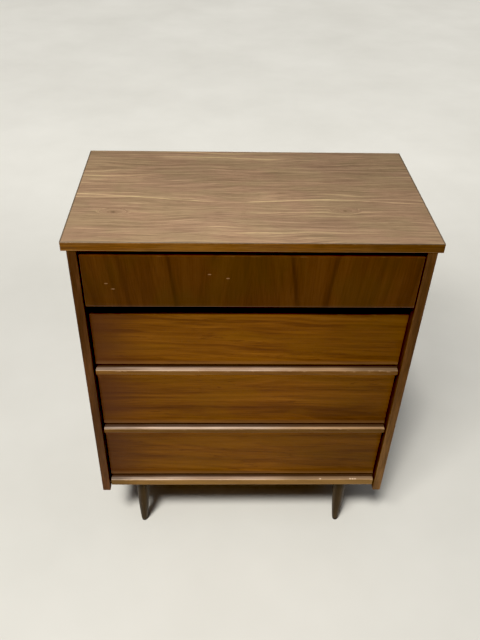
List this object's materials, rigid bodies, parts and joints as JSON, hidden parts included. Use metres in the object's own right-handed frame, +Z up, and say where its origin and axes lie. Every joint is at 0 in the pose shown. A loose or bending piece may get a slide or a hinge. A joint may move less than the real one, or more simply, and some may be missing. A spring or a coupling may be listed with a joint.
{
  "type": "chest of drawers",
  "caption": "Walnut-veneered chest with a wood-pattern laminate top, stacked handle-less drawers that slide out on wooden guides, and short round tapered legs.",
  "frame": {"origin": "on the floor, under the middle of the top", "axes": "+Z up, the drawers open towards -Y, +X to the right seen from the front"},
  "size_m": [0.8128, 0.46, 1.002],
  "materials": {
    "laminate": "satin brown wood-pattern laminate with fine streaks along its length",
    "edge_band": "satin golden brown edge",
    "core_board": "raw chipboard",
    "case_walnut": "satin lacquered walnut veneer, grain upright",
    "leg_walnut": "satin lacquered turned hardwood, stained walnut",
    "walnut_dark": "satin lacquered dark walnut veneer, grain upright",
    "walnut": "satin lacquered walnut veneer, grain along the drawer",
    "lip_walnut": "satin lacquered walnut, worn paler along its upper edge",
    "drawer_wood": "plain unfinished hardwood",
    "hardboard": "brown hardboard, smooth side in",
    "dark_steel": "dark plated steel"
  },
  "bodies": {
    "case": {"top_core": "core_board", "top_laminate": "laminate", "top_edge_band": "edge_band", "side_panel_left": "case_walnut", "side_panel_right": "case_walnut", "back_panel": "hardboard", "top_rail_front": "drawer_wood", "top_rail_back": "drawer_wood", "front_rail_1": "drawer_wood", "back_rail_1": "drawer_wood", "drawer_guide_1": "drawer_wood", "front_rail_2": "drawer_wood", "back_rail_2": "drawer_wood", "drawer_guide_2": "drawer_wood", "rail_lip_2": "lip_walnut", "front_rail_3": "drawer_wood", "back_rail_3": "drawer_wood", "drawer_guide_3": "drawer_wood", "rail_lip_3": "lip_walnut", "front_rail_4": "drawer_wood", "back_rail_4": "drawer_wood", "drawer_guide_4": "drawer_wood", "rail_lip_4": "lip_walnut", "leg_front_left": "leg_walnut", "leg_plate_front_left": "dark_steel", "leg_glide_front_left": "dark_steel", "leg_front_right": "leg_walnut", "leg_plate_front_right": "dark_steel", "leg_glide_front_right": "dark_steel", "leg_back_left": "leg_walnut", "leg_plate_back_left": "dark_steel", "leg_glide_back_left": "dark_steel", "leg_back_right": "leg_walnut", "leg_plate_back_right": "dark_steel", "leg_glide_back_right": "dark_steel"},
    "drawer_1": {"drawer_1_front": "walnut_dark", "drawer_1_side_left": "drawer_wood", "drawer_1_side_right": "drawer_wood", "drawer_1_back": "drawer_wood", "drawer_1_bottom": "hardboard", "drawer_1_runner": "drawer_wood"},
    "drawer_2": {"drawer_2_front": "walnut", "drawer_2_side_left": "drawer_wood", "drawer_2_side_right": "drawer_wood", "drawer_2_back": "drawer_wood", "drawer_2_bottom": "hardboard", "drawer_2_runner": "drawer_wood"},
    "drawer_3": {"drawer_3_front": "walnut", "drawer_3_side_left": "drawer_wood", "drawer_3_side_right": "drawer_wood", "drawer_3_back": "drawer_wood", "drawer_3_bottom": "hardboard", "drawer_3_runner": "drawer_wood"},
    "drawer_4": {"drawer_4_front": "walnut", "drawer_4_side_left": "drawer_wood", "drawer_4_side_right": "drawer_wood", "drawer_4_back": "drawer_wood", "drawer_4_bottom": "hardboard", "drawer_4_runner": "drawer_wood"}
  },
  "joints": [
    {"name": "drawer_1_slide", "type": "slide", "parent": "case", "child": "drawer_1", "axis": [0, -1, 0], "range_m": [0, 0.3]},
    {"name": "drawer_2_slide", "type": "slide", "parent": "case", "child": "drawer_2", "axis": [0, -1, 0], "range_m": [0, 0.3]},
    {"name": "drawer_3_slide", "type": "slide", "parent": "case", "child": "drawer_3", "axis": [0, -1, 0], "range_m": [0, 0.3]},
    {"name": "drawer_4_slide", "type": "slide", "parent": "case", "child": "drawer_4", "axis": [0, -1, 0], "range_m": [0, 0.3]}
  ]
}
